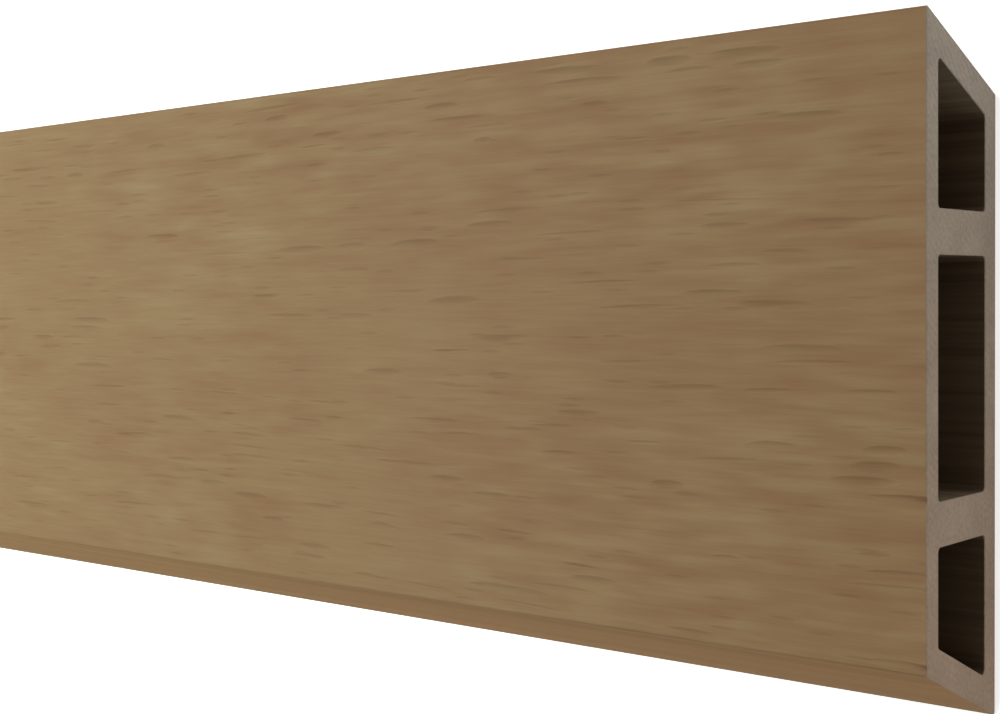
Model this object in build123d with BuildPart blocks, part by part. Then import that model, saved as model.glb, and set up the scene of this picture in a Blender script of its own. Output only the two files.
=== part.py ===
"""Hollow composite fence board: one extruded length with raked long edges and three chambers.

The board lies on its back face. X runs along its length, +Y points to the edge that is uppermost
when the board is fixed on a fence, and +Z is the outward normal of its grained front face.
The origin is the centre of the back side's footprint, on the surface that the board lies on.
Sizes are in millimetres.
"""

import os
from math import atan2, cos

from build123d import *

# Overall sizes
board_length = 1800.0
board_thickness = 25.0
face_height = 100.0
edge_rake = 11.0  # how far the front face stands above the back face, up the fence

# Walls between and around the chambers
face_wall = 4.0  # under the front and back faces
edge_wall = 4.9  # square to the raked edges
web_thickness = 7.0
middle_chamber_height = 37.3

# Corner rounding
outer_corner_radius = 0.4
chamber_corner_radius = 0.8

# What the walls leave for the chambers
rake_angle = atan2(edge_rake, board_thickness)
chamber_depth = board_thickness - 2 * face_wall
web_outer_side = middle_chamber_height / 2 + web_thickness
edge_wall_along_face = edge_wall / cos(rake_angle)


def edge_height(depth):
    """Height of the upper raked edge over the section's centre, at a depth from mid-thickness."""
    return face_height / 2 + edge_rake * depth / board_thickness


def inner_edge_height(depth):
    """Height of the upper chamber's raked side over the section's centre, at the same depth."""
    return edge_height(depth) - edge_wall_along_face


# The middle chamber is square to the faces.
with BuildSketch() as middle_chamber:
    RectangleRounded(middle_chamber_height, chamber_depth, chamber_corner_radius)

# The upper chamber follows the raked edge with its far side.
with BuildSketch() as upper_chamber:
    Polygon(
        (web_outer_side, -chamber_depth / 2),
        (inner_edge_height(-chamber_depth / 2), -chamber_depth / 2),
        (inner_edge_height(chamber_depth / 2), chamber_depth / 2),
        (web_outer_side, chamber_depth / 2),
        align=None,
    )
    fillet(upper_chamber.vertices(), chamber_corner_radius)

# The section is drawn about its own centre, and is the same when it is turned half round.
end_plane = Plane(
    origin=(-board_length / 2, 0, board_thickness / 2),
    x_dir=(0, 1, 0),
    z_dir=(1, 0, 0),
)

with BuildPart() as fence_board:
    with BuildSketch(end_plane) as section:
        Polygon(
            (-edge_height(board_thickness / 2), -board_thickness / 2),
            (edge_height(-board_thickness / 2), -board_thickness / 2),
            (edge_height(board_thickness / 2), board_thickness / 2),
            (-edge_height(-board_thickness / 2), board_thickness / 2),
            align=None,
        )
        fillet(section.vertices(), outer_corner_radius)
        add(middle_chamber.sketch, mode=Mode.SUBTRACT)
        with PolarLocations(0, 2):
            add(upper_chamber.sketch, mode=Mode.SUBTRACT)
    extrude(amount=board_length)

os.makedirs("parts", exist_ok=True)
fence_board.part.label = "fence_board"
export_step(fence_board.part, "parts/fence_board.step")
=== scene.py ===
"""Hollow composite fence board with an embossed wood grain, lying on its back face.

Lengths are in metres. X runs along the board, +Y points to the edge that is uppermost on a fence,
and +Z is the outward normal of the grained front face.
"""

import math
import random

import bmesh
import bpy
import numpy as np
from mathutils import Matrix, Vector, noise


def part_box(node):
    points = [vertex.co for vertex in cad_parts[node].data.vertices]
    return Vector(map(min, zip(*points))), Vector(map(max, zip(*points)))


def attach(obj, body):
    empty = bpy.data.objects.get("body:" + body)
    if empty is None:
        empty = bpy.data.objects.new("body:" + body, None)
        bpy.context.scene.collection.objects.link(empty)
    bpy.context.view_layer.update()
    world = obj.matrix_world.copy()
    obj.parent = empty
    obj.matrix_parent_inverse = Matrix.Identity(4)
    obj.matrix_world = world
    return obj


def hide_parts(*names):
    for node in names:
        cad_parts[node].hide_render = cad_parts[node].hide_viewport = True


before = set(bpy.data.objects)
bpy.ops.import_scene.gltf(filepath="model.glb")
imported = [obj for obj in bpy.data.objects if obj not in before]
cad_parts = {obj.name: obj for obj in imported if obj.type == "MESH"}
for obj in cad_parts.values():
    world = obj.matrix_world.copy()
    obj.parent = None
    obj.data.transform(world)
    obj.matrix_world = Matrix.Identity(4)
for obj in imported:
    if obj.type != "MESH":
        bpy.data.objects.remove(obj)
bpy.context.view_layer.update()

# The board's length and thickness, from the frame
low_corner, high_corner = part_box("fence_board")
half_length = high_corner[0]
thickness = high_corner[2] - low_corner[2]

# Section
face_height = 0.100
edge_rake = 0.011  # how far the front face stands above the back face, up the fence
face_wall = 0.0040
edge_wall = 0.0049  # square to the raked edges
web_thickness = 0.007
middle_chamber_height = 0.0373
outer_corner_radius = 0.0004
chamber_corner_radius = 0.0008
rounding_steps = 5
rim_break = 0.00015  # what the saw takes off the rims of both ends

rake_angle = math.atan2(edge_rake, thickness)
acute_corner = math.pi / 2 - rake_angle
obtuse_corner = math.pi / 2 + rake_angle
square_corner = math.pi / 2
mid_thickness = thickness / 2
chamber_top = thickness - face_wall
cutter_overrun = 0.01
near = 1e-5  # places closer than this are the same place

# Embossed grain, as marks in lanes along the board
grain_seed = 11
lane_pitch = 0.0022
lane_wander = 0.0002
face_margin = 0.0020
mean_gap = 0.037
least_gap = 0.002
mark_length = (0.005, 0.022, 0.009)  # shortest, longest and likeliest
mark_width = (0.0007, 0.0020)  # of the smallest mark and the largest
mark_depth = (0.00013, 0.00034)
mark_lean = 0.012
mark_bend = 0.00018
small_mark_bias = 1.6  # over 1, small marks are commoner than large ones
crowd_patches = (22, 75)  # crowded patches per metre, along and across the board
crowd_change = 1.1
crowd_jitter = 0.15
least_crowding = 0.25
flow_height = 0.0008
flow_length = 0.21
flow_shift = 9  # waves per metre across the face, by which neighbouring lanes are out of step

# The spindle that gouges a mark
gouge_segments = 12
gouge_rings = 9
gouge_rise = 0.6  # how high its axis runs over the face, as a share of its radius
bend_centre = 0.4  # keeps a bent mark on its lane

# How squarely a surface faces along an axis, as its normal's share there
flat_facing = 0.99999
end_facing = 0.9
skin_facing = 0.6
rim_facing = 0.3

# Colours, as linear light
skin_colour = (0.285, 0.167, 0.082)
dark_skin = (0.303, 0.154, 0.073)
pale_skin = (0.267, 0.176, 0.090)
edge_colour = (0.300, 0.162, 0.069)
end_colour_low = (0.284, 0.194, 0.130)
end_colour_high = (0.280, 0.232, 0.178)
# The chamber walls get the skin's brown darkened by painted shade.
chamber_colour_and_shade = (0.092, 0.061, 0.032)
floor_colour = (0.93, 0.93, 0.93, 1)
mark_painted_shade = 0.17  # how far painted shade darkens the skin at the bottom of the deepest mark
# how far painted shade darkens the skin inside a pore
pore_painted_shade = 0.10

# Patterns of the finishes, in repeats per metre along each axis
skin_waves = (58, 320, 320)
skin_fibres = (90, 1500, 1500)
skin_patches = (28, 60, 60)
skin_calm = (9, 18, 18)
skin_pores = (85, 650, 0)
drawn_lines = (4, 1300, 1300)
drawn_streaks = (7, 190, 190)
sawn_flour = (1400, 1400, 1400)
sawn_patches = (160, 160, 160)
chamber_lines = (4, 900, 900)
noise_roughness = 0.55
pore_rim = (0.10, 0.26)  # where a pore starts to close and where it ends, as a share of its cell
pore_threshold = 0.72  # a cell has a pore if its random number is over this

# Saw marks, as rings around a centre beside the board
saw_scale = 260
saw_offset = (0, -0.12, 0.06)  # moves the rings' centre to the origin

# How high the finest relief stands
skin_relief = 0.0001
drawn_relief = 0.00008
sawn_relief = 0.00012
chamber_relief = 0.00006

# Floor and lights
floor_size = 30
floor_drop = 0.0002  # keeps the floor clear of the board's back face
floor_glow = 0.62
room_light = 0.375
room_seen = 0.93  # how bright the room looks behind the floor
key_position = (-0.2, 0.9, 1.2)
key_target = (0.3, 0, 0)
key_size = (1.6, 1.0)
key_power = 18
strip_position = (-0.15, -0.1, 0.85)
strip_target = (-0.15, 0, 0)
strip_size = (1.9, 0.7)
strip_spread = math.radians(45)
strip_power = 2.74
strip_colour = (0.724, 1, 0.947)

# Camera, with its lens and sensor in millimetres
camera_place = (1.00294, 0.01256, 0.24430)
camera_aim = (0.8170, 0.0021, 0.025)
camera_roll = math.radians(-0.582)
lens = 56.8
sensor_width = 36


def rake_at(z):
    """How far the rake has moved the section up the fence, at the height z over the back face."""
    return edge_rake * (z - mid_thickness) / thickness


def between(ends, share):
    """The value at a share of the way from the first end to the second."""
    low, high = ends
    return low + share * (high - low)


def pick(piece):
    """Selects one piece alone and makes it active."""
    bpy.ops.object.select_all(action="DESELECT")
    piece.select_set(True)
    bpy.context.view_layer.objects.active = piece


def start_editing(piece, kind):
    """Opens a piece for editing by points, edges or faces, with nothing selected."""
    pick(piece)
    bpy.ops.object.mode_set(mode="EDIT")
    bpy.ops.mesh.select_mode(type=kind)
    bpy.ops.mesh.select_all(action="DESELECT")


def stop_editing():
    """Closes the piece that is open for editing."""
    bpy.ops.object.mode_set(mode="OBJECT")


def select_where(piece, kind, wanted):
    """Selects those points, edges or faces of an open piece that are wanted."""
    mesh = bmesh.from_edit_mesh(piece.data)
    for part in {"VERT": mesh.verts, "EDGE": mesh.edges, "FACE": mesh.faces}[kind]:
        part.select_set(wanted(part))
    mesh.select_flush(True)
    bmesh.update_edit_mesh(piece.data)


def is_at(point, y, z):
    """Whether a point lies on the line along X through (y, z)."""
    return abs(point.co.y - y) < near and abs(point.co.z - z) < near


def block(name, length, low_y, high_y, low_z, high_z):
    """A square block along X, which is raked or rounded afterwards."""
    bpy.ops.object.select_all(action="DESELECT")
    bpy.ops.mesh.primitive_cube_add(
        size=1,
        location=(0, (low_y + high_y) / 2, (low_z + high_z) / 2),
        scale=(length, high_y - low_y, high_z - low_z),
    )
    piece = bpy.context.object
    piece.name = piece.data.name = name
    bpy.ops.object.transform_apply(location=True, rotation=False, scale=True)
    return piece


def rake_side(piece, side_y):
    """Leans the side of a block that stands at side_y to the board's rake."""
    heights = [point.co.z for point in piece.data.vertices]
    for z in (min(heights), max(heights)):
        start_editing(piece, "VERT")
        select_where(piece, "VERT", lambda point: is_at(point, side_y, z))
        bpy.ops.transform.translate(value=(0, rake_at(z), 0))
        stop_editing()


def round_long_edge(piece, y, z, radius, corner):
    """Rounds the edge along X through (y, z), where two faces meet at the angle corner, to an arc."""
    arc_profile = (1 - 1 / (2 + 2 * math.sin(corner / 2))) ** 2
    start_editing(piece, "EDGE")
    select_where(piece, "EDGE", lambda edge: all(is_at(point, y, z) for point in edge.verts))
    bpy.ops.mesh.bevel(
        offset=radius / math.tan(corner / 2),
        segments=rounding_steps,
        profile=arc_profile,
        affect="EDGES",
        clamp_overlap=False,
    )
    stop_editing()


def round_raked_edge(piece, side_y, z, radius):
    """Rounds a raked side's edge at the height z. The side stands at side_y in mid-thickness."""
    leans_out = (z > mid_thickness) == (side_y > 0)
    corner = acute_corner if leans_out else obtuse_corner
    round_long_edge(piece, side_y + rake_at(z), z, radius, corner)


def cut_away(piece, cutter, solver):
    """Subtracts the cutter from the piece and deletes it."""
    modifier = piece.modifiers.new("cut", "BOOLEAN")
    modifier.operation = "DIFFERENCE"
    modifier.solver = solver
    modifier.object = cutter
    pick(piece)
    bpy.ops.object.modifier_apply(modifier=modifier.name)
    bpy.data.objects.remove(cutter)


def chamber_cutter(name, web_side, raked_side=None):
    """The shape of one chamber: between two webs, or between a web and a raked edge wall."""
    far_side = -web_side if raked_side is None else raked_side
    low_y, high_y = sorted((web_side, far_side))
    cutter = block(name, 2 * (half_length + cutter_overrun), low_y, high_y, face_wall, chamber_top)
    if raked_side is not None:
        rake_side(cutter, raked_side)
    for z in (face_wall, chamber_top):
        round_long_edge(cutter, web_side, z, chamber_corner_radius, square_corner)
        if raked_side is None:
            round_long_edge(cutter, far_side, z, chamber_corner_radius, square_corner)
        else:
            round_raked_edge(cutter, raked_side, z, chamber_corner_radius)
    return cutter


def extruded_board():
    """The extrusion with its raked edges and three chambers, short by the rim break at both ends."""
    length = 2 * (half_length - rim_break)
    board = block("grained_board", length, -face_height / 2, face_height / 2, 0, thickness)
    for side_y in (-face_height / 2, face_height / 2):
        rake_side(board, side_y)
        for z in (0, thickness):
            round_raked_edge(board, side_y, z, outer_corner_radius)
    web_outer_side = middle_chamber_height / 2 + web_thickness
    inner_edge = face_height / 2 - edge_wall / math.cos(rake_angle)
    cut_away(board, chamber_cutter("middle_chamber", middle_chamber_height / 2), "EXACT")
    for side in (-1, 1):
        cut_away(board, chamber_cutter("outer_chamber", side * web_outer_side, side * inner_edge), "EXACT")
    return board


def select_end(board, side):
    """Selects the flat faces of one end, which is on the side -1 or 1."""
    select_where(board, "FACE", lambda face: face.normal.x * side > end_facing)


def saw_ends(board):
    """Fills both ends anew, each with flat faces that stand out by the rim break and are inset by it."""
    for side in (-1, 1):
        start_editing(board, "FACE")
        select_end(board, side)
        bpy.ops.mesh.delete(type="FACE")
        bpy.ops.mesh.select_mode(type="EDGE")
        bpy.ops.mesh.select_non_manifold()
        bpy.ops.mesh.fill()
        bpy.ops.mesh.select_mode(type="FACE")
        bpy.ops.mesh.select_all(action="SELECT")
        bpy.ops.mesh.normals_make_consistent(inside=False)
        bpy.ops.mesh.select_all(action="DESELECT")
        select_end(board, side)
        bpy.ops.mesh.inset(thickness=rim_break, depth=rim_break)
        stop_editing()


def grain_flow(x, y):
    """How far the grain wanders up or down the face at a place."""
    return flow_height * np.sin(2 * math.pi * (x / flow_length + y * flow_shift))


def grain_marks(numbers, face_low, face_high):
    """Place, length, width, depth, lean and bend of each mark, in lanes that keep the marks apart."""
    marks = []
    lanes = int((face_high - face_low - 2 * face_margin) / lane_pitch)
    for lane in range(lanes + 1):
        lane_y = face_low + face_margin + lane * lane_pitch
        x = -half_length - numbers.uniform(0, mean_gap)
        while x < half_length:
            patch = (x * crowd_patches[0], lane_y * crowd_patches[1], numbers.random() * crowd_jitter)
            crowding = max(1 + crowd_change * noise.noise(Vector(patch)), least_crowding)
            x += numbers.expovariate(1 / mean_gap) / crowding**2
            length = numbers.triangular(*mark_length)
            size = numbers.random() ** small_mark_bias
            width = between(mark_width, size)
            depth = between(mark_depth, size)
            lean = numbers.uniform(-mark_lean, mark_lean)
            bend = numbers.uniform(-mark_bend, mark_bend)
            y = lane_y + numbers.uniform(-lane_wander, lane_wander)
            marks.append((x + length / 2, y, length, width, depth, lean, bend))
            x += length + least_gap
    return marks


def gouge_tool():
    """A spindle along X, one unit in half-length and radius, whose copies gouge the grain."""
    bpy.ops.object.select_all(action="DESELECT")
    bpy.ops.mesh.primitive_uv_sphere_add(segments=gouge_segments, ring_count=gouge_rings, radius=1)
    tool = bpy.context.object
    start_editing(tool, "VERT")
    bpy.ops.mesh.select_all(action="SELECT")
    bpy.ops.transform.rotate(value=math.pi / 2, orient_axis="Y", center_override=(0, 0, 0))
    stop_editing()
    points = np.array([point.co[:] for point in tool.data.vertices])
    faces = [list(face.vertices) for face in tool.data.polygons]
    bpy.data.objects.remove(tool)
    return points, faces


def grain_cutter(marks, face_z, outward):
    """The spindles of one face as a single mesh, each sunk to its mark's depth."""
    rim = math.sqrt(1 - gouge_rise**2)  # how wide a spindle is where it meets the face
    points, faces = gouge_tool()
    if outward < 0:
        faces = [face[::-1] for face in faces]
    all_points, all_faces = [], []
    for number, (x, y, length, width, depth, lean, bend) in enumerate(marks):
        radius = depth / (1 - gouge_rise)
        spindle = points * (length / 2 / rim, width / 2 / rim, radius)
        spindle[:, 1] += lean * spindle[:, 0] + bend * (points[:, 0] ** 2 - bend_centre)
        spindle += (x, y, 0)
        spindle[:, 1] += grain_flow(spindle[:, 0], y)
        spindle[:, 2] = face_z + outward * (gouge_rise * radius + spindle[:, 2])
        all_points.append(spindle)
        start = number * len(points)
        all_faces += [[start + corner for corner in face] for face in faces]
    mesh = bpy.data.meshes.new("grain_cutter")
    mesh.from_pydata(np.concatenate(all_points).tolist(), [], all_faces)
    cutter = bpy.data.objects.new("grain_cutter", mesh)
    bpy.context.collection.objects.link(cutter)
    return cutter


def gouge_grain(board):
    """Embosses the front and the back with grain marks."""
    numbers = random.Random(grain_seed)
    for face_z, outward in ((thickness, 1), (0, -1)):
        centre = rake_at(face_z)
        marks = grain_marks(numbers, centre - face_height / 2, centre + face_height / 2)
        cut_away(board, grain_cutter(marks, face_z, outward), "MANIFOLD")


def note_depths(board):
    """Notes on each point how deep in a mark it lies, from 0 to 1, for the painted shade in the marks."""
    places = np.array([point.co[:] for point in board.data.vertices])
    depths = np.minimum(places[:, 2], thickness - places[:, 2])
    from_middle = np.abs(places[:, 1] - rake_at(places[:, 2]))
    too_deep = depths > mark_depth[1] + near
    off_lanes = from_middle > face_height / 2 - face_margin + lane_pitch / 2
    depths[too_deep | off_lanes] = 0
    noted = board.data.attributes.new("mark_depth", "FLOAT", "POINT")
    noted.data.foreach_set("value", (depths / mark_depth[1]).clip(0, 1))


def new_node(tree, kind, inputs=None, **settings):
    """A node with these settings, whose inputs are fixed values or other nodes' outputs."""
    made = tree.nodes.new(kind)
    for name, value in settings.items():
        setattr(made, name, value)
    for name, value in (inputs or {}).items():
        if isinstance(value, bpy.types.NodeSocket):
            tree.links.new(value, made.inputs[name])
        else:
            made.inputs[name].default_value = value
    return made


def place(tree, scale=(1, 1, 1), offset=(0, 0, 0)):
    """The board's own coordinates, in patterns per metre along each axis."""
    coordinates = new_node(tree, "ShaderNodeTexCoord")
    inputs = {"Vector": coordinates.outputs["Object"], "Scale": scale, "Location": offset}
    return new_node(tree, "ShaderNodeMapping", inputs).outputs["Vector"]


def cloud(tree, scale, detail, offset=(0, 0, 0), distortion=0.0):
    """Soft noise from 0 to 1, stretched by its scale along each axis."""
    inputs = {
        "Vector": place(tree, scale, offset),
        "Scale": 1.0,
        "Detail": detail,
        "Roughness": noise_roughness,
        "Distortion": distortion,
    }
    return new_node(tree, "ShaderNodeTexNoise", inputs).outputs["Fac"]


def calculate(tree, operation, first, second):
    """Result of one operation on two values, each a number or another node's output."""
    return new_node(tree, "ShaderNodeMath", {0: first, 1: second}, operation=operation).outputs["Value"]


def weighted(tree, parts, start=0.0):
    """Sum of a start and of (value, weight) pairs."""
    total = start
    for value, weight in parts:
        total = calculate(tree, "ADD", calculate(tree, "MULTIPLY", value, weight), total)
    return total


def stretched(tree, value, from_range, to_range):
    """The value moved from one range to another, and held inside it."""
    (low, high), (new_low, new_high) = from_range, to_range
    inputs = {"Value": value, "From Min": low, "From Max": high, "To Min": new_low, "To Max": new_high}
    return new_node(tree, "ShaderNodeMapRange", inputs).outputs["Result"]


def graded(tree, value, stops):
    """Colour of a value between stops of (position, colour)."""
    ramp = new_node(tree, "ShaderNodeValToRGB", {"Fac": value})
    elements = ramp.color_ramp.elements
    while len(elements) < len(stops):
        elements.new(0.5)
    for element, (position, colour) in zip(elements, stops):
        element.position = position
        element.color = (*colour, 1)
    return ramp.outputs["Color"]


def blended(tree, share, first, second):
    """Colour between a node's output and a fixed colour, of which it has a share."""
    first_colour, second_colour, blend = 6, 7, 2  # sockets of a Mix node, whose names repeat
    inputs = {"Factor": share, first_colour: first, second_colour: (*second, 1)}
    return new_node(tree, "ShaderNodeMix", inputs, data_type="RGBA").outputs[blend]


def shaded(colour, factor):
    """The colour made darker or paler."""
    return tuple(channel * factor for channel in colour)


def new_material(name, roughness, specular):
    """A material with its node tree and its shader."""
    material = bpy.data.materials.new(name)
    material.use_nodes = True
    tree = material.node_tree
    shader = tree.nodes["Principled BSDF"]
    shader.inputs["Roughness"].default_value = roughness
    shader.inputs["Specular IOR Level"].default_value = specular
    return material, tree, shader


def set_relief(tree, shader, height, distance):
    """Bumps a shader by a height, one unit of which is the distance."""
    bump = new_node(tree, "ShaderNodeBump", {"Height": height, "Distance": distance})
    tree.links.new(bump.outputs["Normal"], shader.inputs["Normal"])


def pores(tree):
    """Short fine dashes along the board, 1 inside and 0 outside."""
    inputs = {"Vector": place(tree, skin_pores), "Scale": 1.0}
    cells = new_node(tree, "ShaderNodeTexVoronoi", inputs, voronoi_dimensions="2D")
    dash = stretched(tree, cells.outputs["Distance"], pore_rim, (1, 0))
    chosen = calculate(tree, "GREATER_THAN", cells.outputs["Color"], pore_threshold)
    return calculate(tree, "MULTIPLY", dash, chosen)


def grained_skin():
    """Skin of the wide faces: a pressed grain of soft short waves, with fine fibres and open pores, and
    painted shade in the marks and pores.
    """
    material, tree, shader = new_material("grained_skin", roughness=0.65, specular=0.12)
    waves = cloud(tree, skin_waves, detail=1, distortion=0.15)
    fibres = cloud(tree, skin_fibres, detail=3, offset=(3, 1, 0))
    patches = cloud(tree, skin_patches, detail=2, offset=(7, 2, 4))
    calm = cloud(tree, skin_calm, detail=1, offset=(3.5, 1.6, 0.7))
    # The waves are weak in some parts of the board and strong in others.
    strength = stretched(tree, calm, (0.35, 0.65), (0.25, 1.4))
    wave = calculate(tree, "MULTIPLY", calculate(tree, "SUBTRACT", waves, 0.5), strength)
    # The start brings the mean tone to the middle stop.
    tone = weighted(tree, ((wave, 0.42), (fibres, 0.26), (patches, 0.28)), start=0.23)
    stops = ((0.25, shaded(dark_skin, 0.8)), (0.5, skin_colour), (0.75, shaded(pale_skin, 1.25)))
    wood = graded(tree, tone, stops)
    # Painted shade: the skin is blended towards a deep brown at the bottom of each mark and inside each
    # pore.
    depth = new_node(tree, "ShaderNodeAttribute", attribute_name="mark_depth").outputs["Fac"]
    dash = pores(tree)
    shade = weighted(tree, ((depth, mark_painted_shade), (dash, pore_painted_shade)))
    wood = blended(tree, shade, wood, shaded(dark_skin, 0.3))
    tree.links.new(wood, shader.inputs["Base Color"])
    relief = weighted(tree, ((wave, 2.8), (fibres, 0.9), (dash, -0.7)))
    set_relief(tree, shader, relief, skin_relief)
    return material


def drawn_skin():
    """Skin of the raked edges, with fine lines that the die drew along the board."""
    material, tree, shader = new_material("drawn_skin", roughness=0.7, specular=0.04)
    lines = cloud(tree, drawn_lines, detail=3)
    streaks = cloud(tree, drawn_streaks, detail=3)
    tone = weighted(tree, ((streaks, 0.55), (lines, 0.45)))
    stops = ((0.25, shaded(edge_colour, 0.78)), (0.5, edge_colour), (0.75, shaded(edge_colour, 1.2)))
    wood = graded(tree, tone, stops)
    tree.links.new(wood, shader.inputs["Base Color"])
    set_relief(tree, shader, lines, drawn_relief)
    return material


def sawn_end():
    """Cross-cut composite: a pale dry surface speckled with wood flour, with faint saw marks."""
    material, tree, shader = new_material("sawn_end", roughness=0.8, specular=0.2)
    height = new_node(tree, "ShaderNodeSeparateXYZ", {"Vector": place(tree)}).outputs["Y"]
    rise = stretched(tree, height, (-face_height / 2, face_height / 2), (0, 1))
    wood = graded(tree, rise, ((0, end_colour_low), (1, end_colour_high)))
    flour = cloud(tree, sawn_flour, detail=4)
    patches = cloud(tree, sawn_patches, detail=2, offset=(1, 5, 2))
    speckle = weighted(tree, ((flour, 0.6), (patches, 0.4)))
    strength = stretched(tree, speckle, (0.25, 0.75), (0.75, 1.25))
    wood = new_node(tree, "ShaderNodeVectorMath", {"Vector": wood, "Scale": strength}, operation="SCALE")
    tree.links.new(wood.outputs["Vector"], shader.inputs["Base Color"])
    inputs = {"Vector": place(tree, offset=saw_offset), "Scale": saw_scale, "Distortion": 2, "Detail": 2}
    marks = new_node(tree, "ShaderNodeTexWave", inputs, wave_type="RINGS", rings_direction="X")
    relief = weighted(tree, ((flour, 0.7), (marks.outputs["Fac"], 0.3)))
    set_relief(tree, shader, relief, sawn_relief)
    return material


def chamber_wall():
    """Inner walls, smooth from the die, whose brown is darkened by painted shade."""
    material, tree, shader = new_material("chamber_wall", roughness=0.6, specular=0.15)
    lines = cloud(tree, chamber_lines, detail=3)
    stops = ((0.3, shaded(chamber_colour_and_shade, 0.75)), (0.7, shaded(chamber_colour_and_shade, 1.25)))
    wood = graded(tree, lines, stops)
    tree.links.new(wood, shader.inputs["Base Color"])
    set_relief(tree, shader, lines, chamber_relief)
    return material


def finish_surfaces(board):
    """Gives each face its material, and flat or smooth shading, by its place and direction."""
    board.data.materials.clear()  # the grain's cuts leave an empty slot
    for material in (grained_skin(), drawn_skin(), sawn_end(), chamber_wall()):
        board.data.materials.append(material)
    skin, edge_skin, sawn, chamber = range(4)
    for face in board.data.polygons:
        x, y, z = face.center
        from_middle = abs(y - rake_at(z))
        inside = min(z, thickness - z)
        end_share, face_share = abs(face.normal.x), abs(face.normal.z)
        if abs(x) > half_length - rim_break and end_share > rim_facing:
            face.material_index = sawn
        elif inside > face_wall / 2 and from_middle < (face_height - edge_wall) / 2:
            face.material_index = chamber
        elif inside < mark_depth[1] + near and face_share > skin_facing:
            face.material_index = skin
        else:
            face.material_index = edge_skin
        face.use_smooth = max(end_share, face_share) < flat_facing


def plain_floor():
    """A wide floor just under the board, which glows a little so that it looks white."""
    bpy.ops.object.select_all(action="DESELECT")
    bpy.ops.mesh.primitive_plane_add(size=floor_size, location=(0, 0, -floor_drop))
    floor = bpy.context.object
    floor.name = floor.data.name = "floor"
    material, _, shader = new_material("floor", roughness=0.9, specular=0)
    shader.inputs["Base Color"].default_value = floor_colour
    shader.inputs["Emission Color"].default_value = floor_colour
    shader.inputs["Emission Strength"].default_value = floor_glow
    floor.data.materials.append(material)


def softbox(name, position, target, size, power, colour=(1, 1, 1), spread=math.pi):
    """A rectangular light that faces its target."""
    light = bpy.data.lights.new(name, "AREA")
    light.color = colour
    light.spread = spread
    light.shape = "RECTANGLE"
    light.size, light.size_y = size
    light.energy = power
    lamp = bpy.data.objects.new(name, light)
    lamp.location = position
    lamp.rotation_euler = (Vector(target) - Vector(position)).to_track_quat("-Z", "Y").to_euler()
    bpy.context.collection.objects.link(lamp)


def studio_light():
    """An even room, a broad key light and a long strip that ends short of the board's right end."""
    world = bpy.data.worlds.new("studio")
    world.use_nodes = True
    tree = world.node_tree
    background = tree.nodes["Background"]
    background.inputs["Color"].default_value = (1, 1, 1, 1)
    seen = new_node(tree, "ShaderNodeLightPath").outputs["Is Camera Ray"]
    strength = stretched(tree, seen, (0, 1), (room_light, room_seen))
    tree.links.new(strength, background.inputs["Strength"])
    bpy.context.scene.world = world
    softbox("key", key_position, key_target, key_size, key_power)
    softbox("strip", strip_position, strip_target, strip_size, strip_power, strip_colour, strip_spread)


def place_camera():
    """A camera that looks down on the right end of the board, with +Y up in the picture."""
    camera = bpy.data.cameras.new("camera")
    camera.sensor_width = sensor_width
    camera.lens = lens
    back = (Vector(camera_place) - Vector(camera_aim)).normalized()
    right = Vector((0, 1, 0)).cross(back).normalized()
    turn = Matrix((right, back.cross(right), back)).transposed() @ Matrix.Rotation(camera_roll, 3, "Z")
    viewer = bpy.data.objects.new("camera", camera)
    viewer.matrix_world = Matrix.Translation(camera_place) @ turn.to_4x4()
    bpy.context.collection.objects.link(viewer)
    bpy.context.scene.camera = viewer


board = extruded_board()
saw_ends(board)
gouge_grain(board)
note_depths(board)
finish_surfaces(board)
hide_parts("fence_board")
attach(board, "root")

plain_floor()
studio_light()
place_camera()
bpy.context.scene.view_settings.view_transform = "Standard"
